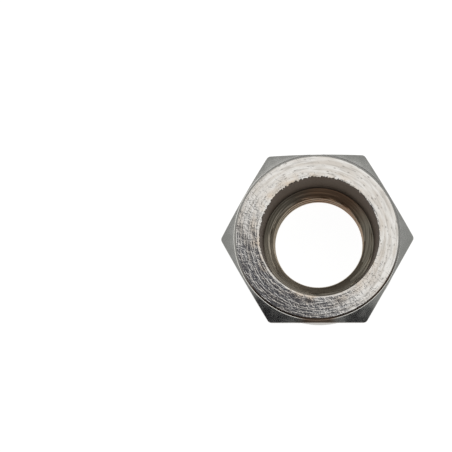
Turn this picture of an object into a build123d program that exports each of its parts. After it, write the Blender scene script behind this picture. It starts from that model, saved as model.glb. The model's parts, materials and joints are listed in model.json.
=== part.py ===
from build123d import *
import os
from math import cos, pi, radians, tan

# Shear nut with an M12 right-hand thread, turned in one piece from hexagon bar.
# Millimetres. The origin is the centre of the bearing face, on the thread's axis, and +Z runs
# from that face up through the cone and the shear groove to the hexagon head.

# Heights, from the bearing face up
cone_height = 7.7
neck_height = 1.9
head_height = 4.3

# Thread in the cone, whose wall is the tapping hole, and the plain bore above it
thread_diameter = 12.0
tapping_drill_diameter = 10.2
thread_clearance = 0.2
bore_overrun = 0.6
drill_point_angle = 118.0
mouth_chamfer = 0.18
countersink_margin = 0.75
countersink_angle = 120.0

# Shear groove and the neck that flares from it up to the head
shear_wall = 0.4
neck_flare = 0.55
neck_fillet = 0.25

# Outside of the cone: a short steep facet beside the groove, then a bulged side down to the rim
facet_rise = 0.6
facet_height = 0.65
rim_diameter = 18.5
side_radius = 16.0
rim_chamfer_width = 0.35
rim_chamfer_height = 0.25

# Hexagon head
across_flats = 18.0
corner_radius = 0.15
face_inset = 0.33
edge_break_width = 0.25
edge_break_height = 0.3
head_chamfer_angle = 35.0

# Levels worked out from the heights
groove_z = cone_height
shoulder_z = groove_z + neck_height
face_z = shoulder_z + head_height
bore_floor_z = groove_z - bore_overrun
facet_z = groove_z - facet_height

# Radii worked out from the thread and the walls
tapping_radius = tapping_drill_diameter / 2
bore_radius = thread_diameter / 2 + thread_clearance
mouth_radius = bore_radius + mouth_chamfer
countersink_radius = thread_diameter / 2 + countersink_margin
groove_radius = bore_radius + shear_wall
neck_radius = groove_radius + neck_flare
facet_radius = groove_radius + facet_rise
rim_radius = rim_diameter / 2

# The hexagon and the circles that are turned on its end
corner_reach = across_flats / 2 / cos(pi / 6)
face_radius = across_flats / 2 - face_inset
chamfer_radius = face_radius + edge_break_width
chamfer_z = face_z - edge_break_height
chamfer_depth = (corner_reach - chamfer_radius) * tan(radians(head_chamfer_angle))

# Depths of the two cones inside
drill_cone_height = (bore_radius - tapping_radius) / tan(radians(drill_point_angle / 2))
countersink_height = (countersink_radius - tapping_radius) / tan(radians(countersink_angle / 2))

with BuildPart() as shear_nut:
    # The head keeps the bar's hexagon, its corners on the X axis and two of its flats square to Y.
    with BuildSketch(Plane.XY.offset(shoulder_z)) as bar_section:
        RegularPolygon(across_flats / 2, 6, major_radius=False)
        fillet(bar_section.vertices(), corner_radius)
    extrude(amount=head_height)

    # Turning the end face leaves a round land with a broken edge, and a chamfer across the corners.
    with BuildSketch(Plane.XZ) as head_turning:
        with BuildLine():
            Polyline(
                (0, shoulder_z),
                (corner_reach, shoulder_z),
                (corner_reach, chamfer_z - chamfer_depth),
                (chamfer_radius, chamfer_z),
                (face_radius, face_z),
                (0, face_z),
                close=True,
            )
        make_face()
    revolve(axis=Axis.Z, mode=Mode.INTERSECT)

    # Cone, groove and neck are one turned profile under the head.
    with BuildSketch(Plane.XZ) as turned_body:
        with BuildLine():
            Polyline((facet_radius, facet_z), (groove_radius, groove_z), (neck_radius, shoulder_z))
            Polyline((neck_radius, shoulder_z), (0, shoulder_z), (0, 0), (rim_radius - rim_chamfer_width, 0))
            Line((rim_radius - rim_chamfer_width, 0), (rim_radius, rim_chamfer_height))
            RadiusArc((rim_radius, rim_chamfer_height), (facet_radius, facet_z), -side_radius)
        make_face()
    revolve(axis=Axis.Z)

    # The tool's nose leaves a small fillet where the neck meets the shoulder.
    neck_top = shear_nut.edges().filter_by(GeomType.CIRCLE).filter_by_position(Axis.Z, shoulder_z, shoulder_z)
    fillet(neck_top.sort_by(SortBy.RADIUS)[0], neck_fillet)

    # Clearance bore through head and neck, its drill point, the tapping hole and the countersink.
    with BuildSketch(Plane.XZ) as bored_profile:
        with BuildLine():
            Polyline(
                (0, 0),
                (countersink_radius, 0),
                (tapping_radius, countersink_height),
                (tapping_radius, bore_floor_z - drill_cone_height),
                (bore_radius, bore_floor_z),
                (bore_radius, face_z - mouth_chamfer),
                (mouth_radius, face_z),
                (0, face_z),
                close=True,
            )
        make_face()
    revolve(axis=Axis.Z, mode=Mode.SUBTRACT)

shear_nut.part.label = "shear_nut"

os.makedirs("parts", exist_ok=True)
export_step(shear_nut.part, "parts/shear_nut.step")

print(f"height {face_z:.2f}, across flats {across_flats:.2f}, across corners {2 * corner_reach:.2f}")
print(f"tapping wall from z {countersink_height:.3f} to {bore_floor_z - drill_cone_height:.3f}")
print(f"clearance bore from z {bore_floor_z:.3f} to {face_z - mouth_chamfer:.3f}")
print(f"volume {shear_nut.part.volume:.1f} mm3")
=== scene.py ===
# %% [markdown]
# # A shear nut in turned stainless steel
# The nut is one piece: a hexagon head, a thin neck and a threaded cone, turned from hexagon bar.
# It stands on its bearing face, and the camera looks down on the end of the hexagon.
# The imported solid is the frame. It gives every size that another part would meet, and the piece
# that is modelled here has the same form with the thread, the burrs and the finishes added.

# %% Load the frame
import json
import random
from math import atan2, cos, degrees, hypot, pi, radians, sin, sqrt, tan

import bmesh
import bpy
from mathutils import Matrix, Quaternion, Vector

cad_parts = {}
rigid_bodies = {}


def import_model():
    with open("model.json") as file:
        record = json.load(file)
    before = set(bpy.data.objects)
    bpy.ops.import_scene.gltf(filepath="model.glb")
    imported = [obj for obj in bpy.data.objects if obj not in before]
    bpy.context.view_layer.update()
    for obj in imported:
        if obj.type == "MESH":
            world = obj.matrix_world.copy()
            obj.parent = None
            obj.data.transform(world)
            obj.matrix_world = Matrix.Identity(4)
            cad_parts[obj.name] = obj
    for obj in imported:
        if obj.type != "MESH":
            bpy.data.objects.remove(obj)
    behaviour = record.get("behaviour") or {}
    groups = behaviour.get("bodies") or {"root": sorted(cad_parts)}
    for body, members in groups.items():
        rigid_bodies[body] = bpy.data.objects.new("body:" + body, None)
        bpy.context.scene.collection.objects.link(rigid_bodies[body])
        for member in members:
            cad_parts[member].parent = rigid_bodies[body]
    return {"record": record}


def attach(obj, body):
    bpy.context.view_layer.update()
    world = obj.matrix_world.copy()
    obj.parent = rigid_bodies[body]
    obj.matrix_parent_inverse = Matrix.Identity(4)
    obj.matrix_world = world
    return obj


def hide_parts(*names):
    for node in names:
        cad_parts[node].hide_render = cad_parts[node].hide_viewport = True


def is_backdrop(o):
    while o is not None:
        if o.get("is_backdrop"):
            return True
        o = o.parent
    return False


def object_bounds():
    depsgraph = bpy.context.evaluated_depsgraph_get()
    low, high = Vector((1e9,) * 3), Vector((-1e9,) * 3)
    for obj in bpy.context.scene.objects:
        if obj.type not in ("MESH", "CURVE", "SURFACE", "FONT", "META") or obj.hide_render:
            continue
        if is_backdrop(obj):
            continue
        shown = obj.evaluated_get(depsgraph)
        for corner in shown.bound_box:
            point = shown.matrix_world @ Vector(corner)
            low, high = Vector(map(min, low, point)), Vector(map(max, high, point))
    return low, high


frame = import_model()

low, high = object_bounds()
print("solid box in mm:", [round(1000 * v, 3) for v in (*low, *high)])

# %% [markdown]
# ## Sizes
# What the solid already states is read from it, so that the two can't drift apart: its height, the
# rim, the flats, the two bores and how far each runs. The rest of the turned outline is given here
# in millimetres, because the frame has no name for it.

# %% Sizes
MM = 0.001

mounts = {mount["name"]: mount for mount in frame["record"]["mounts"]}


def wall_of(name):
    """Radius, lower end and upper end of a round wall that the record states, in millimetres."""
    mount = mounts[name]
    middle = mount["pos_m"][2] / MM
    half = mount["dims"]["length_mm"] / 2
    return mount["dims"]["r_mm"], middle - half, middle + half


face_z = high.z / MM
rim_radius = high.y / MM
flat_distance = mounts["spanner_flat_back"]["pos_m"][1] / MM
tapping_radius, tapping_low, tapping_high = wall_of("thread")
bore_radius, bore_low, bore_high = wall_of("clearance_bore")

thread_radius = 6.0
pitch = 1.75
countersink_radius = 6.75
groove_radius, groove_z = 6.6, 7.7
neck_radius, shoulder_z = 7.15, 9.6
facet_radius, facet_z = 7.2, 7.05
pass_limit = 4.75
side_radius = 16.0
rim_chamfer_width, rim_chamfer_height = 0.35, 0.25
face_radius = 8.63
edge_break_width, edge_break_height = 0.25, 0.3
head_chamfer_angle = radians(35)
mouth_radius = bore_radius + face_z - bore_high
corner_reach = flat_distance / cos(pi / 6)

print("height", round(face_z, 2), "across flats", 2 * flat_distance, "bore radius", bore_radius)
print("tapping wall from", round(tapping_low, 3), "to", round(tapping_high, 3))

# %% [markdown]
# ## Camera
# The photograph looks along the thread's axis into the hexagon end, and a little up the far wall of
# the bore: what lies deeper in the hole is shifted down the picture, and a pixel to the right.
# Seven widths across flats is the distance at which a body of this depth narrows as it does there.
# The camera is turned so that the end face lands on its place in the picture, right of the middle,
# with no lens shift.

# %% Camera
PICTURE = 452
SENSOR = 36.0
pixels_per_mm = 9.37
face_distance = 130.5
face_centre_px = Vector((316.9, 237.3))
view_tilt = radians(4.4)
view_lean = radians(1.0)
view_roll = radians(-0.45)

focal_px = pixels_per_mm * face_distance
face_centre = Vector((0, 0, face_z)) * MM
towards_camera = Vector((sin(view_lean), -sin(view_tilt), cos(view_tilt))).normalized()

camera_data = bpy.data.cameras.new("camera")
camera_data.sensor_width = SENSOR
camera_data.lens = focal_px / PICTURE * SENSOR
camera_data.clip_start = 0.005
camera = bpy.data.objects.new("camera", camera_data)
bpy.context.scene.collection.objects.link(camera)
bpy.context.scene.camera = camera

offset_px = face_centre_px - Vector((PICTURE, PICTURE)) / 2
ray = Vector((offset_px.x, -offset_px.y, -focal_px)).normalized()
aim = Vector((0, 0, 1)).rotation_difference(towards_camera)
to_axis = ray.rotation_difference(Vector((0, 0, -1)))
roll = Quaternion(towards_camera, view_roll)
camera.rotation_mode = "QUATERNION"
camera.rotation_quaternion = roll @ aim @ to_axis
camera.location = face_centre + towards_camera * face_distance * MM
print("lens", round(camera_data.lens, 1), "mm, camera at", [round(v / MM, 1) for v in camera.location])

# %% [markdown]
# ## The turned body
# A lathe makes every round surface of this nut, so a spun outline is the natural way to model it.
# The outline is drawn once, as points in the XZ plane: out along the bearing face, up the cone, in
# at the shear groove, out again under the head, over the chamfer and down the bore. The cone's side
# was turned in two passes, so a straight stretch meets the bulge with a faint crease. The end face
# was cut with a slide that wasn't quite square: it falls to its rim by a seventh of a millimetre,
# a very flat cone, and that slope decides which part of it mirrors the lamp. Where the chamfer
# begins the tool pushed up a ridge two hundredths high.

# %% The turned body
SEGMENTS = 384
SIDE_STEPS = 24
FACE_SHARES = [1, 0.5, 0.04]
blank_margin = 0.5
blank_radius = corner_reach + blank_margin
face_fall = 0.14
lip_outline = [(0.16, 0.0), (0.02, 0.014), (-0.01, 0.05)]
ridge_outline = [(0.02, -0.012), (0.0, 0.008), (-0.045, -0.002)]


def side_points(start, end, radius, steps):
    """Points on a bulged side from start to end, an arc that bows away from the axis."""
    start, end = Vector(start), Vector(end)
    chord = end - start
    inward = Vector((-chord.y, chord.x)).normalized()
    centre = (start + end) / 2 + inward * sqrt(radius**2 - (chord.length / 2) ** 2)
    spokes = [start - centre, end - centre]
    turn = spokes[0].angle(spokes[1])
    first = atan2(spokes[0].y, spokes[0].x)
    angles = [first + turn * step / steps for step in range(steps + 1)]
    return [(centre.x + radius * cos(a), centre.y + radius * sin(a)) for a in angles]


def spin_outline(points, steps, rise=0.0):
    """A new bmesh: an outline of (radius, height) points in mm, spun round Z and climbing by rise."""
    bm = bmesh.new()
    verts = [bm.verts.new((radius * MM, 0, height * MM)) for radius, height in points]
    edges = [bm.edges.new(pair) for pair in zip(verts, verts[1:])]
    bmesh.ops.spin(
        bm,
        geom=verts + edges,
        cent=(0, 0, 0),
        axis=(0, 0, 1),
        dvec=(0, 0, rise * MM / steps),
        angle=2 * pi,
        steps=steps,
        use_merge=rise == 0,
    )
    return bm


bulge = side_points((rim_radius, rim_chamfer_height), (facet_radius, facet_z), side_radius, SIDE_STEPS)
lower_pass = [point for point in bulge if point[1] < pass_limit]
chamfer_radius = face_radius + edge_break_width
chamfer_z = face_z - edge_break_height
blank_drop = (blank_radius - chamfer_radius) * tan(head_chamfer_angle)
inner_radius = mouth_radius + lip_outline[0][0]
face_points = [(inner_radius + (face_radius - inner_radius) * share, share) for share in FACE_SHARES]

outline = [
    (countersink_radius, 0),
    (rim_radius - rim_chamfer_width, 0),
    *lower_pass,
    (facet_radius, facet_z),
    (groove_radius, groove_z),
    (neck_radius, shoulder_z),
    (blank_radius, shoulder_z),
    (blank_radius, chamfer_z - blank_drop),
    *[(chamfer_radius + out, chamfer_z + rise) for out, rise in ridge_outline],
    *[(radius, face_z - face_fall * share) for radius, share in face_points],
    *[(mouth_radius + out, face_z - drop) for out, drop in lip_outline],
    (bore_radius, bore_low),
]
body = spin_outline(outline, SEGMENTS)
crease_z = lower_pass[-1][1]
print("turned body:", len(outline), "points,", len(body.faces), "faces, crease at z", round(crease_z, 2))

# %% [markdown]
# ## The thread
# An M12 thread runs up the cone and out through the drill point. A tap leaves a helix, so the wall
# is spun with a rise of one pitch a turn, and each row of points follows the helix. The rows are
# then set out to the depth of the 60 degree groove, but never inside the countersink or the drill
# cone, which is how a tap cuts into both ends. The rows past an end close up on its circle. Soft
# stainless rises under the tap, so the crests stand a few hundredths inside the drilled wall.

# %% The thread
crest_rise = 0.05
crest_radius = tapping_radius - crest_rise
thread_depth = 0.5413 * pitch
flank_angle = pi / 6
ROOT_HALF = pitch / 16
CREST_HALF = pitch / 8 + (crest_radius - thread_radius + thread_depth) * tan(flank_angle)
ROWS = 14
SAME_POINT = 1e-7
JOIN_GAP = 1e-6


def thread_depth_radius(from_root):
    """Radius of the tapped wall at a distance along the axis from the middle of the groove's root."""
    flank = pitch / 2 - ROOT_HALF - CREST_HALF
    share = min(max((from_root - ROOT_HALF) / flank, 0), 1)
    return thread_radius + (crest_radius - thread_radius) * share


def plain_wall_radius(height):
    """Radius of the hole before it was tapped: countersink, tapping wall, then drill cone."""
    if height < tapping_low:
        share = height / tapping_low
        return countersink_radius + (crest_radius - countersink_radius) * share
    share = max(height - tapping_high, 0) / (bore_low - tapping_high)
    return crest_radius + (bore_radius - crest_radius) * share


turns = int((bore_low + pitch) / pitch) + 2
row_heights = [(row / ROWS - 1) * pitch for row in range(turns * ROWS + 1)]
wall = spin_outline([(crest_radius, height) for height in row_heights], SEGMENTS, rise=pitch)
for vert in wall.verts:
    angle = atan2(vert.co.y, vert.co.x) % (2 * pi)
    height = vert.co.z / MM
    phase = (height / pitch - angle / (2 * pi)) % 1
    height = min(max(height, 0), bore_low)
    radius = max(plain_wall_radius(height), thread_depth_radius(min(phase, 1 - phase) * pitch))
    vert.co = Vector((cos(angle) * radius, sin(angle) * radius, height)) * MM
bmesh.ops.remove_doubles(wall, verts=wall.verts, dist=SAME_POINT)
wall_mesh = bpy.data.meshes.new("tapped_wall")
wall.to_mesh(wall_mesh)
wall.free()
body.from_mesh(wall_mesh)
bpy.data.meshes.remove(wall_mesh)
bmesh.ops.remove_doubles(body, verts=body.verts, dist=JOIN_GAP)
bmesh.ops.dissolve_degenerate(body, edges=body.edges, dist=JOIN_GAP)
bmesh.ops.recalc_face_normals(body, faces=body.faces)
open_edges = [edge for edge in body.edges if len(edge.link_faces) != 2]
print("tapped wall joined:", len(body.faces), "faces,", len(open_edges), "open edges")

# %% [markdown]
# ## Circles that are not quite on one axis
# The nut was held more than once: for the bore, for facing and for the chamfer. So the circle where
# the end face stops and the foot of the bore each sit a tenth of a millimetre to one side, and its
# mouth a quarter, and the end face is broad on one side and narrow on the other. The foot is also a
# little narrower, as the drill's corners had worn. The rings of points are moved sideways here,
# before the flats are cut, and the cone that the drill's point left leans over with the foot.

# %% Circles that are not quite on one axis
face_offset = Vector((-0.03, 0.07))
mouth_offset = Vector((0.225, 0.14))
foot_offset = Vector((0.04, -0.08))
foot_wear = 0.07
ON_AXIS = Vector((0, 0))
RING_TOLERANCE = 0.01
LEVEL_TOLERANCE = 0.005
PAST_FOOT = 1.001


def around(vector):
    """Distance of a point from the axis."""
    return hypot(vector.x, vector.y)


def is_ring(radius, height, centre=ON_AXIS):
    """A test for points on a turned ring of that radius, height and centre."""
    def test(place):
        off_ring = abs(around(place.xy - centre) - radius)
        return off_ring < RING_TOLERANCE and abs(place.z - height) < LEVEL_TOLERANCE

    return test


outer_ring, middle_ring, inner_ring = [
    is_ring(radius, face_z - face_fall * share) for radius, share in face_points
]
ridge_rings = [is_ring(chamfer_radius + out, chamfer_z + rise) for out, rise in ridge_outline]
lip_rings = [is_ring(mouth_radius + out, face_z - drop) for out, drop in lip_outline]
for name, rings, offset in (
    ("rim of the end face", [*ridge_rings, outer_ring], face_offset),
    ("middle of the end face", [middle_ring], (face_offset + mouth_offset) / 2),
    ("mouth", [inner_ring, *lip_rings], mouth_offset),
):
    moved = [vert for vert in body.verts if any(ring(vert.co / MM) for ring in rings)]
    for vert in moved:
        vert.co.xy += offset * MM
    print(name, "moved:", len(moved), "points by", round(offset.length, 3), "mm")

for vert in body.verts:
    share = (vert.co.z / MM - tapping_high) / (bore_low - tapping_high)
    if 0 < share < PAST_FOOT and around(vert.co) < (bore_radius + RING_TOLERANCE) * MM:
        vert.co.xy += share * (foot_offset - vert.co.xy.normalized() * foot_wear) * MM
print("foot of the bore moved by", round(foot_offset.length, 3), "mm")

# %% [markdown]
# ## The hexagon
# The head is what is left of the bar: six flats that the lathe never touched. So it is cut here as
# the bar was drawn, by planes, after the chamfer is there, and the curved edges where the chamfer
# meets each flat come out by themselves. The bar's corners have a drawn radius of half a
# millimetre, which takes a few narrow planes each. The bar sat a little off the lathe's axis, one
# more reason why the chamfer is wider on one side. Only the head is cut, as the cone's rim is wider.

# %% The hexagon
bar_offset = Vector((-0.05, -0.07))
bar_corner_radius = 0.5
CORNER_TURNS = range(-24, 25, 8)
neck_margin = 0.05
CUT_GAP = 1e-8


def head_faces(bm):
    """Faces of the head that lie outside the neck."""
    lowest = (shoulder_z - RING_TOLERANCE) * MM
    nearest = (neck_radius + neck_margin) * MM
    middles = [(face, face.calc_center_median()) for face in bm.faces]
    return [face for face, middle in middles if middle.z > lowest and around(middle) > nearest]


corner_centre = (flat_distance - bar_corner_radius) / cos(pi / 6)
planes = []
for side in range(6):
    planes.append((30 + 60 * side, flat_distance))
    for turn in CORNER_TURNS:
        planes.append((60 * side + turn, corner_centre * cos(radians(turn)) + bar_corner_radius))
for azimuth, distance in planes:
    outward = Vector((cos(radians(azimuth)), sin(radians(azimuth)), 0))
    point = (outward * distance + bar_offset.to_3d()) * MM
    faces = head_faces(body)
    edges = list(dict.fromkeys(edge for face in faces for edge in face.edges))
    verts = list(dict.fromkeys(vert for face in faces for vert in face.verts))
    cut = bmesh.ops.bisect_plane(
        body,
        geom=verts + edges + faces,
        dist=CUT_GAP,
        plane_co=point,
        plane_no=outward,
        clear_outer=True,
    )
    rim = [item for item in cut["geom_cut"] if isinstance(item, bmesh.types.BMEdge)]
    bmesh.ops.edgeloop_fill(body, edges=rim)
open_edges = [edge for edge in body.edges if len(edge.link_faces) != 2]
print("hexagon cut by", len(planes), "planes:", len(body.faces), "faces, open edges:", len(open_edges))

# %% [markdown]
# ## Edges
# No cut edge is perfectly sharp, and a thin bright line along an edge is what tells steel from
# plastic. The groove has the tool's nose, the neck meets the head in a small fillet, and the rims of
# the flats are broken by a few hundredths.

# %% Edges
groove_nose = 0.06
neck_fillet = 0.2
flat_bevel = 0.035
UPRIGHT = 0.01


def edges_where(bm, test):
    """Edges whose two ends both pass a test on their place, given in millimetres."""
    return [edge for edge in bm.edges if all(test(vert.co / MM) for vert in edge.verts)]


def bevel(bm, edges, offset, segments):
    """Rounds the edges over a width in millimetres."""
    bmesh.ops.bevel(
        bm, geom=edges, offset=offset * MM, segments=segments, profile=0.5, affect="EDGES", material=-1
    )


def is_upright(face):
    """True for the flats of the head and the rounded corners between them."""
    place = face.calc_center_median() / MM
    outside_neck = around(place) > neck_radius + 2 * neck_margin
    return abs(face.normal.z) < UPRIGHT and place.z > shoulder_z and outside_neck


bevel(body, edges_where(body, is_ring(groove_radius, groove_z)), groove_nose, segments=3)
bevel(body, edges_where(body, is_ring(neck_radius, shoulder_z)), neck_fillet, segments=5)
bmesh.ops.recalc_face_normals(body, faces=body.faces)
flat_rims = [edge for edge in body.edges if sum(is_upright(face) for face in edge.link_faces) == 1]
bevel(body, flat_rims, flat_bevel, segments=2)
bmesh.ops.recalc_face_normals(body, faces=body.faces)
print("rims of the flats:", len(flat_rims), "edges, faces now", len(body.faces))

# %% [markdown]
# ## Burrs at the mouth
# The facing tool dragged hair-like burrs over the mouth of the bore on one half of it, and nobody
# took them off. They are real steel with a real outline, so the ring of points at the lip is pulled
# in by a random reach, tooth by tooth, and here and there torn outwards. The reach grows slowly
# from the start of the arc and ends short. The seed is fixed, so every run gives the same teeth.

# %% Burrs at the mouth
burred_arc = (-15, 200)
burr_reach = 0.16
burr_tear = 0.1
START_FADE = 110
END_FADE = 18
BURR_SEED = 12
lip_out, lip_drop = lip_outline[1]
lip_ring = is_ring(mouth_radius + lip_out, face_z - lip_drop, mouth_offset)
draw = random.Random(BURR_SEED)


def burr_share(vert):
    """How strong the burr is at a point of the lip: 1 inside the burred arc, 0 outside."""
    start, end = burred_arc
    angle = (degrees(atan2(vert.co.y, vert.co.x)) - start) % 360 + start
    return max(0, min((angle - start) / START_FADE, (end - angle) / END_FADE, 1))


lip = [vert for vert in body.verts if lip_ring(vert.co / MM)]
lip.sort(key=lambda vert: atan2(vert.co.y, vert.co.x))
for vert in lip:
    reach = burr_share(vert) * (burr_reach * draw.random() ** 3 - burr_tear * draw.random() ** 4)
    vert.co.xy *= 1 - reach / mouth_radius
print("burrs on", sum(burr_share(vert) > 0 for vert in lip), "of", len(lip), "points")

# %% [markdown]
# ## Where each finish lies
# One piece of steel has several finishes, one for each way that a surface was made: faced, turned,
# drilled, tapped, or left as the bar was drawn. Each face gets the number of its finish from its
# place on the outline, and the list of names is also the order of the material slots. Shading is
# smooth but for real edges, the crease on the cone, and the two ends of the bore's wall, where the
# burrs and the drill's point would otherwise tilt the light on all of it.

# %% Where each finish lies
FINISHES = [
    "faced_end",
    "broken_edge",
    "turned_chamfer",
    "drawn_flats",
    "turned_neck",
    "turned_cone",
    "bored_wall",
    "drilled_step",
    "tapped_thread",
]
SHARP = radians(11)
LEVEL_FACE = 0.95
STEEP_FACE = 0.5
face_margin = 0.04
wall_margin = 0.3
step_margin = 0.1
shoulder_margin = 0.1


def finish_of(face):
    """Name of the finish that a face has, from its place and its slope."""
    place = face.calc_center_median() / MM
    radius = around(place)
    if place.z > face_z - face_fall - face_margin and face.normal.z > LEVEL_FACE:
        return "faced_end"
    if place.z > shoulder_z and radius < neck_radius - wall_margin:
        return "bored_wall"
    if radius < bore_radius + step_margin and tapping_high < place.z < bore_low:
        return "drilled_step"
    if radius < countersink_radius and place.z < bore_low:
        return "tapped_thread"
    if place.z > shoulder_z + shoulder_margin:
        if abs(face.normal.z) < STEEP_FACE:
            return "drawn_flats"
        inside_ridge = around(place.xy - face_offset) < chamfer_radius + ridge_outline[-1][0]
        return "broken_edge" if inside_ridge else "turned_chamfer"
    if place.z > facet_z:
        return "turned_neck"
    return "turned_cone"


under_out, under_drop = lip_outline[2]
under_lip = is_ring(mouth_radius + under_out, face_z - under_drop, mouth_offset)
counts = dict.fromkeys(FINISHES, 0)
for face in body.faces:
    finish = finish_of(face)
    face.material_index = FINISHES.index(finish)
    face.smooth = True
    counts[finish] += 1
for edge in body.edges:
    ends = [vert.co / MM for vert in edge.verts]
    at_pass = all(abs(end.z - crease_z) < RING_TOLERANCE for end in ends)
    at_lip = all(under_lip(end) for end in ends)
    met = {FINISHES[face.material_index] for face in edge.link_faces}
    at_foot = met == {"bored_wall", "drilled_step"}
    edge.smooth = edge.calc_face_angle(0) < SHARP and not (at_pass or at_lip or at_foot)
print("faces of each finish:", counts)

# %% [markdown]
# ## The piece
# The mesh becomes one object that stands for the imported solid and rides on the only body there is.
# It stays at the origin, because its place is in its mesh.

# %% The piece
mesh = bpy.data.meshes.new("shear_nut_turned")
body.to_mesh(mesh)
body.free()
nut = bpy.data.objects.new("shear_nut_turned", mesh)
bpy.context.scene.collection.objects.link(nut)
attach(nut, "root")
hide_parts("shear_nut")
mesh.calc_loop_triangles()
print("triangles:", len(mesh.loop_triangles))

# %% [markdown]
# ## How the finishes are made
# Every finish here is the same stainless steel, so all of them are a metal with the default IOR and
# a grey a little warmer than silver. What sets them apart is what the tool left: fine rings where
# it was turned, a torn skin where a worn tool faced it, grain where the bar was drawn. Rings must
# follow the turning, so their noise is read at a point that goes round with the angle and along
# with radius less height, which moves across every turned surface of this nut and has no seam.

# %% How the finishes are made
def srgb(text):
    """An sRGB hex colour as linear RGBA."""
    parts = [int(text[place:place + 2], 16) / 255 for place in (1, 3, 5)]
    return (*[part / 12.92 if part <= 0.04045 else ((part + 0.055) / 1.055) ** 2.4 for part in parts], 1)


def result_of(value):
    """The output that holds a node's result, or the value itself if it isn't a node."""
    if isinstance(value, bpy.types.Node):
        return next(output for output in value.outputs if output.enabled)
    return value


def add_node(tree, kind, inputs=None, **settings):
    """A node with its settings and its inputs: plain values, hex colours, sockets or other nodes."""
    node = tree.nodes.new(kind)
    for name, value in settings.items():
        setattr(node, name, value)
    for key, value in (inputs or {}).items():
        named = [socket for socket in node.inputs if socket.enabled and socket.name == key]
        socket = named[0] if named else node.inputs[key]
        value = result_of(value)
        if isinstance(value, bpy.types.NodeSocket):
            tree.links.new(value, socket)
        else:
            socket.default_value = srgb(value) if isinstance(value, str) else value
    return node


def start_steel(name, roughness, anisotropic=0.0, glancing="#FFFFFF"):
    """A steel with its even values on the shader's own sockets, and its surface point in mm."""
    material = bpy.data.materials.new(name)
    material.use_nodes = True
    tree = material.node_tree
    shader = tree.nodes["Principled BSDF"]
    shader.inputs["Metallic"].default_value = 1
    shader.inputs["Roughness"].default_value = roughness
    shader.inputs["Anisotropic"].default_value = anisotropic
    shader.inputs["Specular Tint"].default_value = srgb(glancing)
    if anisotropic:
        tangent = add_node(tree, "ShaderNodeTangent", direction_type="RADIAL", axis="Z")
        tree.links.new(tangent.outputs[0], shader.inputs["Tangent"])
    metres = add_node(tree, "ShaderNodeTexCoord").outputs["Object"]
    place = add_node(tree, "ShaderNodeVectorMath", {0: metres, "Scale": 1 / MM}, operation="SCALE")
    return material, tree, place


def finish_with(material, colour, layers, height, depth, rough=None):
    """Lays (mask, tone) layers over the colour, and adds a bump that deep in mm and any roughness."""
    tree = material.node_tree
    shader = tree.nodes["Principled BSDF"]
    for mask, tone in layers:
        layer = {"Factor": mask, "A": colour, "B": tone}
        colour = add_node(tree, "ShaderNodeMix", layer, data_type="RGBA")
    bump = add_node(tree, "ShaderNodeBump", {"Height": height, "Distance": depth * MM})
    tree.links.new(bump.outputs[0], shader.inputs["Normal"])
    tree.links.new(result_of(colour), shader.inputs["Base Color"])
    if rough is not None:
        tree.links.new(result_of(rough), shader.inputs["Roughness"])
    print(material.name, "has", len(tree.nodes), "nodes")


finishes = {}

# %% [markdown]
# ## The faced end
# The end face was cut across with a worn tool. Most of it is smooth, but the tool tore the steel in
# places: short dashes along its path, a fifth of a millimetre apart, and swirls where the chip
# dragged. Their flanks lean by a few degrees, so they are only faint grey streaks where the face
# mirrors the lamp and stand out bright where it mirrors the dark card. A few specks are dark
# everywhere: they are pits read along the tool's path, one to a mark, so they come out longer than
# they are wide. A brown bloom of dried coolant lies near the mouth.

# %% The faced end: its marks
def tool_path(tree, place, mark_length, mark_spacing):
    """A point that goes round with the turning: marks come out that long and that far apart, in mm."""
    flat = add_node(tree, "ShaderNodeVectorMath", {0: place, 1: (1, 1, 0)}, operation="MULTIPLY")
    radius = add_node(tree, "ShaderNodeVectorMath", {0: flat}, operation="LENGTH")
    spoke = add_node(tree, "ShaderNodeVectorMath", {0: flat}, operation="NORMALIZE")
    round_it = add_node(
        tree, "ShaderNodeVectorMath", {0: spoke, "Scale": face_radius / mark_length}, operation="SCALE"
    )
    height = add_node(tree, "ShaderNodeSeparateXYZ", {0: place}).outputs["Z"]
    across = add_node(tree, "ShaderNodeMath", {0: radius, 1: height}, operation="SUBTRACT")
    spaced = add_node(tree, "ShaderNodeMath", {0: across, 1: 1 / mark_spacing}, operation="MULTIPLY")
    along = add_node(tree, "ShaderNodeCombineXYZ", {"Z": spaced})
    return add_node(tree, "ShaderNodeVectorMath", {0: round_it, 1: along})


def pits_at(tree, place, spacing, size, share):
    """1 in round pits of that size in mm, 0 outside, in that share of cells of that spacing."""
    cells = add_node(tree, "ShaderNodeTexVoronoi", {"Vector": place, "Scale": 1 / spacing})
    chosen = add_node(tree, "ShaderNodeSeparateColor", {0: cells.outputs["Color"]})
    present = add_node(tree, "ShaderNodeMath", {0: chosen, 1: share}, operation="LESS_THAN")
    limits = {"Value": cells, "From Min": size / spacing / 2, "From Max": size / spacing / 4}
    inside = add_node(tree, "ShaderNodeMapRange", limits)
    return add_node(tree, "ShaderNodeMath", {0: inside, 1: present}, operation="MULTIPLY")


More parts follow.
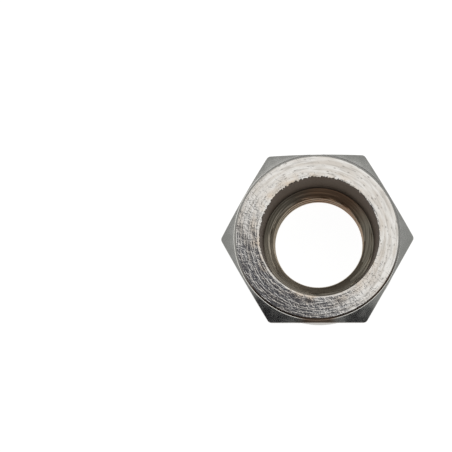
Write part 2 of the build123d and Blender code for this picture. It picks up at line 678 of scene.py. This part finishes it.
# %% The faced end
swirl_size, wave_size, blotch_size = 0.5, 0.9, 1.6
bloom_reach = 1.2
material, tree, place = start_steel("faced_stainless", roughness=0.16)
path = tool_path(tree, place, mark_length=1.8, mark_spacing=0.18)
lines = add_node(tree, "ShaderNodeTexNoise", {"Vector": path, "Scale": 1, "Detail": 1})
dashes = add_node(tree, "ShaderNodeMapRange", {"Value": lines, "From Min": 0.45, "From Max": 0.62})
curled = {"Vector": place, "Scale": 1 / swirl_size, "Detail": 1, "Distortion": 1.4}
curls = add_node(tree, "ShaderNodeTexNoise", curled)
swirls = add_node(tree, "ShaderNodeMapRange", {"Value": curls, "From Min": 0.47, "From Max": 0.6})
height = add_node(tree, "ShaderNodeTexNoise", {"Vector": place, "Scale": 1 / wave_size, "Detail": 1})
for marks, rise in ((dashes, 0.3), (swirls, 0.26)):
    height = add_node(tree, "ShaderNodeMath", {0: marks, 1: rise, 2: height}, operation="MULTIPLY_ADD")

path = tool_path(tree, place, mark_length=3.0, mark_spacing=0.5)
patches = add_node(tree, "ShaderNodeTexNoise", {"Vector": path, "Scale": 1, "Detail": 2})
patches = add_node(tree, "ShaderNodeMapRange", {"Value": patches, "From Min": 0.4, "From Max": 0.65})
limits = {"Value": lines, "From Min": 0.5, "From Max": 0.68, "To Max": 0.45}
torn = add_node(tree, "ShaderNodeMapRange", limits)
path = tool_path(tree, place, mark_length=0.7, mark_spacing=0.3)
specks = pits_at(tree, path, spacing=1, size=0.6, share=0.5)
flat = add_node(tree, "ShaderNodeVectorMath", {0: place, 1: (1, 1, 0)}, operation="MULTIPLY")
radius = add_node(tree, "ShaderNodeVectorMath", {0: flat}, operation="LENGTH")
limits = {"Value": radius, "From Min": mouth_radius + bloom_reach, "From Max": mouth_radius, "To Max": 0.8}
near_mouth = add_node(tree, "ShaderNodeMapRange", limits)
blotch = add_node(tree, "ShaderNodeTexNoise", {"Vector": place, "Scale": 1 / blotch_size, "Detail": 3})
blotch = add_node(tree, "ShaderNodeMapRange", {"Value": blotch, "From Min": 0.48, "From Max": 0.7})
bloom = add_node(tree, "ShaderNodeMath", {0: blotch, 1: near_mouth}, operation="MULTIPLY")
limits = {"Value": curls, "From Min": 0.3, "From Max": 0.7, "To Min": 0.13, "To Max": 0.19}
rough = add_node(tree, "ShaderNodeMapRange", limits)
layers = [(patches, "#AEA9A3"), (torn, "#87837E"), (specks, "#8C8985"), (bloom, "#AFA08F")]
finish_with(material, "#BFBDBA", layers, height, depth=0.018, rough=rough)
finishes["faced_end"] = material

# %% [markdown]
# ## The head's chamfer and its inner edge
# The chamfer across the corners was turned with a sharp tool, so it is satin, and cooler to the eye
# than the torn face because it mirrors the room. The narrow band inside it is the same cut. Towards
# minus Y the band is painted brown and dark over a wide arc, a painted shade, and the chamfer is
# painted the same over a narrow arc, where it is narrowest.

# %% The head's chamfer and its inner edge
def toward(tree, place, azimuth, start, end):
    """0 to 1 round the axis: 1 within end degrees of the azimuth, 0 beyond start degrees from it."""
    side = (cos(radians(azimuth)), sin(radians(azimuth)), 0)
    flat = add_node(tree, "ShaderNodeVectorMath", {0: place, 1: (1, 1, 0)}, operation="MULTIPLY")
    spoke = add_node(tree, "ShaderNodeVectorMath", {0: flat}, operation="NORMALIZE")
    turn = add_node(tree, "ShaderNodeVectorMath", {0: spoke, 1: side}, operation="DOT_PRODUCT")
    limits = {"Value": turn, "From Min": cos(radians(start)), "From Max": cos(radians(end))}
    return add_node(tree, "ShaderNodeMapRange", limits)


cloud_size = 0.9
material, tree, place = start_steel("fine_turned_stainless_painted_shade", roughness=0.25, anisotropic=0.3)
path = tool_path(tree, place, mark_length=6.0, mark_spacing=0.1)
rings = add_node(tree, "ShaderNodeTexNoise", {"Vector": path, "Scale": 1})
cloud = add_node(tree, "ShaderNodeTexNoise", {"Vector": place, "Scale": 1 / cloud_size, "Detail": 4})
limits = {"Value": cloud, "From Min": 0.3, "From Max": 0.7, "To Min": 0.2, "To Max": 0.3}
rough = add_node(tree, "ShaderNodeMapRange", limits)
# painted shade: brown and dark in a narrow arc of the chamfer towards minus Y
dirty = toward(tree, place, azimuth=270, start=16, end=8)
layers = [(cloud, "#CAC9C5"), (dirty, "#6B5C50")]
finish_with(material, "#BAB8B3", layers, rings, depth=0.004, rough=rough)
finishes["turned_chamfer"] = material

material, tree, place = start_steel("rubbed_stainless_edge_painted_shade", roughness=0.3)
path = tool_path(tree, place, mark_length=2.0, mark_spacing=0.1)
rings = add_node(tree, "ShaderNodeTexNoise", {"Vector": path, "Scale": 1, "Detail": 3})
# painted shade: brown and dark over a wide arc of the band towards minus Y
dirty = toward(tree, place, azimuth=275, start=80, end=55)
finish_with(material, "#A5A29D", [(rings, "#B9B7B2"), (dirty, "#5A4B40")], rings, depth=0.008)
finishes["broken_edge"] = material

# %% [markdown]
# ## The flats
# The six flats are the skin of the bar: cold drawn, then pickled, which etches the grain and leaves
# the steel pale and dull. Drawing lines run along the bar, one of them a deep score on one flat, and
# small pits are scattered over it.

# %% The flats
line_width, grain_size, bend_length = 0.35, 0.16, 1.2
stretch = (1, 1, 0.12)
score_x = 2.1
material, tree, place = start_steel("drawn_pickled_stainless", roughness=0.4)
stretched = add_node(tree, "ShaderNodeMapping", {"Vector": place, "Scale": stretch})
lines = add_node(tree, "ShaderNodeTexNoise", {"Vector": stretched, "Scale": 1 / line_width, "Detail": 3})
grain = add_node(tree, "ShaderNodeTexNoise", {"Vector": place, "Scale": 1 / grain_size})
pits = pits_at(tree, place, spacing=0.6, size=0.18, share=0.35)
axes = add_node(tree, "ShaderNodeSeparateXYZ", {0: place}).outputs
bends = add_node(tree, "ShaderNodeTexNoise", {"Vector": place, "Scale": 1 / bend_length})
wander = add_node(tree, "ShaderNodeMath", {0: bends, 1: 0.35, 2: axes["X"]}, operation="MULTIPLY_ADD")
from_score = add_node(tree, "ShaderNodeMath", {0: wander, 1: score_x}, operation="SUBTRACT")
from_score = add_node(tree, "ShaderNodeMath", {0: from_score}, operation="ABSOLUTE")
on_front = add_node(tree, "ShaderNodeMath", {0: axes["Y"], 1: 0.0}, operation="LESS_THAN")
score = add_node(tree, "ShaderNodeMapRange", {"Value": from_score, "From Min": 0.06, "From Max": 0.02})
score = add_node(tree, "ShaderNodeMath", {0: score, 1: on_front}, operation="MULTIPLY")
etched = add_node(tree, "ShaderNodeMapRange", {"Value": grain, "From Min": 0.35, "From Max": 0.7})
limits = {"Value": lines, "From Min": 0.5, "From Max": 0.7, "To Max": 0.4}
drawn = add_node(tree, "ShaderNodeMapRange", limits)
height = 0.0
for marks, rise in ((grain, 0.4), (lines, 0.6), (pits, -0.8), (score, -1.0)):
    height = add_node(tree, "ShaderNodeMath", {0: marks, 1: rise, 2: height}, operation="MULTIPLY_ADD")
limits = {"Value": grain, "From Min": 0.3, "From Max": 0.7, "To Min": 0.34, "To Max": 0.48}
rough = add_node(tree, "ShaderNodeMapRange", limits)
layers = [(etched, "#ABA59C"), (drawn, "#8F887E"), (pits, "#6F675E"), (score, "#857D73")]
finish_with(material, "#BFBAB2", layers, height, depth=0.016, rough=rough)
finishes["drawn_flats"] = material

# %% [markdown]
# ## Neck and cone
# Both were turned at a fine feed. The rings are a tenth of a millimetre apart and very shallow, and
# they stretch the highlight across themselves, which the shader's anisotropy gives without having
# to draw every ring. The neck is painted darker than the cone, a painted shade of the recess under
# the head, with bands of a thin brown oil film. The cone has small dark pits and faint bands where
# the tool rubbed, and its rim chamfer, which faces down to the table, is painted dark: a painted shade.

# %% Neck and cone
# painted shade: the neck's dark base colour stands for the shade of the recess under the head; the brown
# bands are oil film
material, tree, place = start_steel("oiled_turned_stainless_painted_shade", roughness=0.26, anisotropic=0.5)
path = tool_path(tree, place, mark_length=9.0, mark_spacing=0.12)
rings = add_node(tree, "ShaderNodeTexNoise", {"Vector": path, "Scale": 1})
path = tool_path(tree, place, mark_length=4.0, mark_spacing=2.0)
film = add_node(tree, "ShaderNodeTexNoise", {"Vector": path, "Scale": 1})
film = add_node(tree, "ShaderNodeMapRange", {"Value": film, "From Min": 0.44, "From Max": 0.56})
finish_with(material, "#77726B", [(film, "#5E463A")], rings, depth=0.006)
finishes["turned_neck"] = material

rim_blend = 0.03
material, tree, place = start_steel("turned_stainless", roughness=0.3, anisotropic=0.6)
path = tool_path(tree, place, mark_length=20.0, mark_spacing=0.13)
rings = add_node(tree, "ShaderNodeTexNoise", {"Vector": path, "Scale": 1, "Detail": 3})
path = tool_path(tree, place, mark_length=14.0, mark_spacing=0.5)
bands = add_node(tree, "ShaderNodeTexNoise", {"Vector": path, "Scale": 1, "Detail": 1})
bands = add_node(tree, "ShaderNodeMapRange", {"Value": bands, "From Min": 0.4, "From Max": 0.65})
pits = pits_at(tree, place, spacing=0.55, size=0.16, share=0.3)
limits = {"Value": rings, "From Min": 0.55, "From Max": 0.75, "To Max": 0.4}
dark_rings = add_node(tree, "ShaderNodeMapRange", limits)
# painted shade: the rim chamfer, which faces down to the table, is painted dark
above = add_node(tree, "ShaderNodeSeparateXYZ", {0: place}).outputs["Z"]
rim_top = rim_chamfer_height
limits = {"Value": above, "From Min": rim_top + rim_blend, "From Max": rim_top, "To Max": 0.8}
at_rim = add_node(tree, "ShaderNodeMapRange", limits)
height = add_node(tree, "ShaderNodeMath", {0: pits, 1: -1.4, 2: rings}, operation="MULTIPLY_ADD")
rough = add_node(tree, "ShaderNodeMapRange", {"Value": bands, "To Min": 0.27, "To Max": 0.35})
layers = [(bands, "#9D9891"), (dark_rings, "#827D76"), (pits, "#5E564E"), (at_rim, "#4E4A46")]
finish_with(material, "#ABA69F", layers, height, depth=0.006, rough=rough)
finishes["turned_cone"] = material

# %% [markdown]
# ## Bore and thread
# The walls of the bore are painted a dark brown-grey with a faint darker mottle: a painted shade
# of the deep hole. Their grey tint at a glancing angle keeps their reflections dark too. The drill
# leaves rings, coarser than the lathe's, and they show best on its point. The point is painted
# lighter round azimuth 160 degrees and a little lighter round 5 degrees, painted highlights, with its
# rings stronger round 160, and browner and darker round 72 degrees, a painted shade. The thread is
# lighter and sharper to the eye than the bore above it, with the same brown painted shade, patchy
# along its rings, round azimuth 65 degrees. The point and the thread have a grey glancing tint too.

# %% Bore and thread
film_size = 2.5
# painted shade: the wall's dark brown-grey base and mottle, and its grey glancing tint, keep the bore dark
material, tree, place = start_steel("drilled_stainless_painted_shade", roughness=0.45, glancing="#CFC8C2")
path = tool_path(tree, place, mark_length=5.0, mark_spacing=0.2)
rings = add_node(tree, "ShaderNodeTexNoise", {"Vector": path, "Scale": 1, "Detail": 3})
film = add_node(tree, "ShaderNodeTexNoise", {"Vector": place, "Scale": 1 / film_size})
film = add_node(tree, "ShaderNodeMapRange", {"Value": film, "From Min": 0.4, "From Max": 0.65})
finish_with(material, "#5F5750", [(film, "#575049")], rings, depth=0.01)
finishes["bored_wall"] = material

material, tree, place = start_steel("drill_point_stainless_painted_light", roughness=0.42, glancing="#CFC7BC")
path = tool_path(tree, place, mark_length=14.0, mark_spacing=0.1)
rings = add_node(tree, "ShaderNodeTexNoise", {"Vector": path, "Scale": 1})
# painted highlights round azimuths 160 and 5, a brown painted shade round 72; the rings are stronger on
# the highlight at 160
scraped = toward(tree, place, azimuth=160, start=65, end=25)
worn = toward(tree, place, azimuth=5, start=80, end=30)
burnt = toward(tree, place, azimuth=72, start=55, end=20)
dark_rings = add_node(tree, "ShaderNodeMapRange", {"Value": rings, "From Min": 0.46, "From Max": 0.54})
strength = add_node(tree, "ShaderNodeMath", {0: scraped, 1: 0.5, 2: 0.25}, operation="MULTIPLY_ADD")
dark_rings = add_node(tree, "ShaderNodeMath", {0: dark_rings, 1: strength}, operation="MULTIPLY")
layers = [(worn, "#CFC6B4"), (scraped, "#E3D8C6"), (burnt, "#A5866E"), (dark_rings, "#5C5447")]
finish_with(material, "#9B9386", layers, rings, depth=0.045)
finishes["drilled_step"] = material

material, tree, place = start_steel("tapped_stainless_painted_shade", roughness=0.3, glancing="#C9C2B8")
path = tool_path(tree, place, mark_length=3.0, mark_spacing=0.15)
rings = add_node(tree, "ShaderNodeTexNoise", {"Vector": path, "Scale": 1, "Detail": 3})
# painted shade: brown and darker round azimuth 65, patchy along the rings
burnt = toward(tree, place, azimuth=65, start=80, end=25)
limits = {"Value": rings, "From Min": 0.4, "From Max": 0.6, "To Min": 0.3, "To Max": 0.9}
patchy = add_node(tree, "ShaderNodeMapRange", limits)
burnt = add_node(tree, "ShaderNodeMath", {0: burnt, 1: patchy}, operation="MULTIPLY")
finish_with(material, "#A39887", [(burnt, "#9C7459")], rings, depth=0.012)
finishes["tapped_thread"] = material

for name in FINISHES:
    mesh.materials.append(finishes[name])
print("material slots:", [material.name for material in mesh.materials])

# %% [markdown]
# ## The table
# The nut stands on a plain white table. Seen by the camera, by a mirror reflection or through
# glass the table glows a little, which makes it as white as a backdrop without any more light on
# the nut, and the part of it that takes the lamps' light keeps the nut's shadow.

# %% The table
table_glow = 0.95
table_bm = bmesh.new()
bmesh.ops.create_circle(table_bm, cap_ends=True, radius=4, segments=96)
table_mesh = bpy.data.meshes.new("table")
table_bm.to_mesh(table_mesh)
table_bm.free()
table = bpy.data.objects.new("table", table_mesh)
bpy.context.scene.collection.objects.link(table)
table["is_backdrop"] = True

white = bpy.data.materials.new("white_table")
white.use_nodes = True
tree = white.node_tree
tree.nodes.remove(tree.nodes["Principled BSDF"])
rays = add_node(tree, "ShaderNodeLightPath").outputs
seen = rays["Is Camera Ray"]
for kind in ("Is Glossy Ray", "Is Transmission Ray"):
    seen = add_node(tree, "ShaderNodeMath", {0: seen, 1: rays[kind]}, operation="MAXIMUM")
glow = add_node(tree, "ShaderNodeMath", {0: seen, 1: table_glow}, operation="MULTIPLY")
matte = add_node(tree, "ShaderNodeBsdfDiffuse", {"Color": "#7C7C7C"})
lit = add_node(tree, "ShaderNodeEmission", {"Strength": glow})
both = add_node(tree, "ShaderNodeAddShader", {0: matte, 1: lit})
tree.links.new(both.outputs[0], tree.nodes["Material Output"].inputs["Surface"])
table_mesh.materials.append(white)
print("table glow", table_glow)

# %% [markdown]
# ## Light
# Bare metal shows what stands round it. An even grey room gives the chamfers their tone. A broad
# warm softbox overhead ends right above the nut, so that most of the end face mirrors it and the
# lower left of the face doesn't: there it mirrors a felt card that lets a little cool light through.
# Two more cards in front of the nut, left and right, darken the two chamfered corners that face
# them and leave the chamfer between them to the grey room. The camera doesn't see the cards.

# %% Light
room_grey = (0.41, 0.42, 0.42, 1)
world = bpy.data.worlds.new("studio")
bpy.context.scene.world = world
world.use_nodes = True
room = world.node_tree.nodes["Background"]
room.inputs["Color"].default_value = room_grey
room.inputs["Strength"].default_value = 1.0

box_size = 0.50
box_height = 0.42
box_azimuth = radians(50)
box_power = 3.52
box_edge = -0.025
away = Vector((cos(box_azimuth), sin(box_azimuth), 0))

lamp_data = bpy.data.lights.new("overhead_softbox", "AREA")
lamp_data.shape = "SQUARE"
lamp_data.size = box_size
lamp_data.energy = box_power * box_size**2
lamp_data.color = (1.0, 0.987, 0.968)
lamp = bpy.data.objects.new("overhead_softbox", lamp_data)
lamp.location = away * (box_edge + box_size / 2) + Vector((0, 0, box_height))
lamp.rotation_euler = (0, 0, box_azimuth)
bpy.context.scene.collection.objects.link(lamp)
bpy.context.scene.view_settings.view_transform = "Standard"


def dark_card(name, width, length, place, turn, glow):
    """A felt card that the camera doesn't see, with the faint cool light that its cloth passes on."""
    felt = bpy.data.materials.new(name + "_felt")
    felt.use_nodes = True
    felt_shader = felt.node_tree.nodes["Principled BSDF"]
    felt_shader.inputs["Base Color"].default_value = srgb("#26262C")
    felt_shader.inputs["Roughness"].default_value = 0.9
    felt_shader.inputs["Emission Color"].default_value = srgb("#DCE0F4")
    felt_shader.inputs["Emission Strength"].default_value = glow
    card_bm = bmesh.new()
    bmesh.ops.create_grid(card_bm, x_segments=1, y_segments=1, size=0.5)
    bmesh.ops.scale(card_bm, vec=(width, length, 1), verts=card_bm.verts)
    card_mesh = bpy.data.meshes.new(name)
    card_bm.to_mesh(card_mesh)
    card_bm.free()
    card_mesh.materials.append(felt)
    card = bpy.data.objects.new(name, card_mesh)
    card.location = place
    card.rotation_euler = turn
    card.visible_camera = False
    bpy.context.scene.collection.objects.link(card)
    card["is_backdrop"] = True


overhead_width, overhead_length = 0.16, 0.3
place = away * (box_edge - overhead_width / 2) + Vector((0, 0, box_height))
turn = (0, 0, box_azimuth)
dark_card("overhead_card", overhead_width, overhead_length, place, turn, glow=0.14)

front_distance = 0.26
front_height, front_lift = 0.22, 0.02
for name, azimuth, width in (("front_card_left", 238, 0.20), ("front_card_right", 297, 0.12)):
    angle = radians(azimuth)
    place = Vector((cos(angle), sin(angle), 0)) * front_distance
    place.z = front_lift + front_height / 2
    dark_card(name, width, front_height, place, turn=(pi / 2, 0, angle + pi / 2), glow=0)
print("softbox", box_power, "watts per square metre, square of", box_size, "m")

# %% [markdown]
# ## Finish
# The two boxes, the solid's and the dressed nut's, are printed.

# %% Finish
low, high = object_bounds()
print("visual box in mm:", [round(v / MM, 3) for v in (*low, *high)])
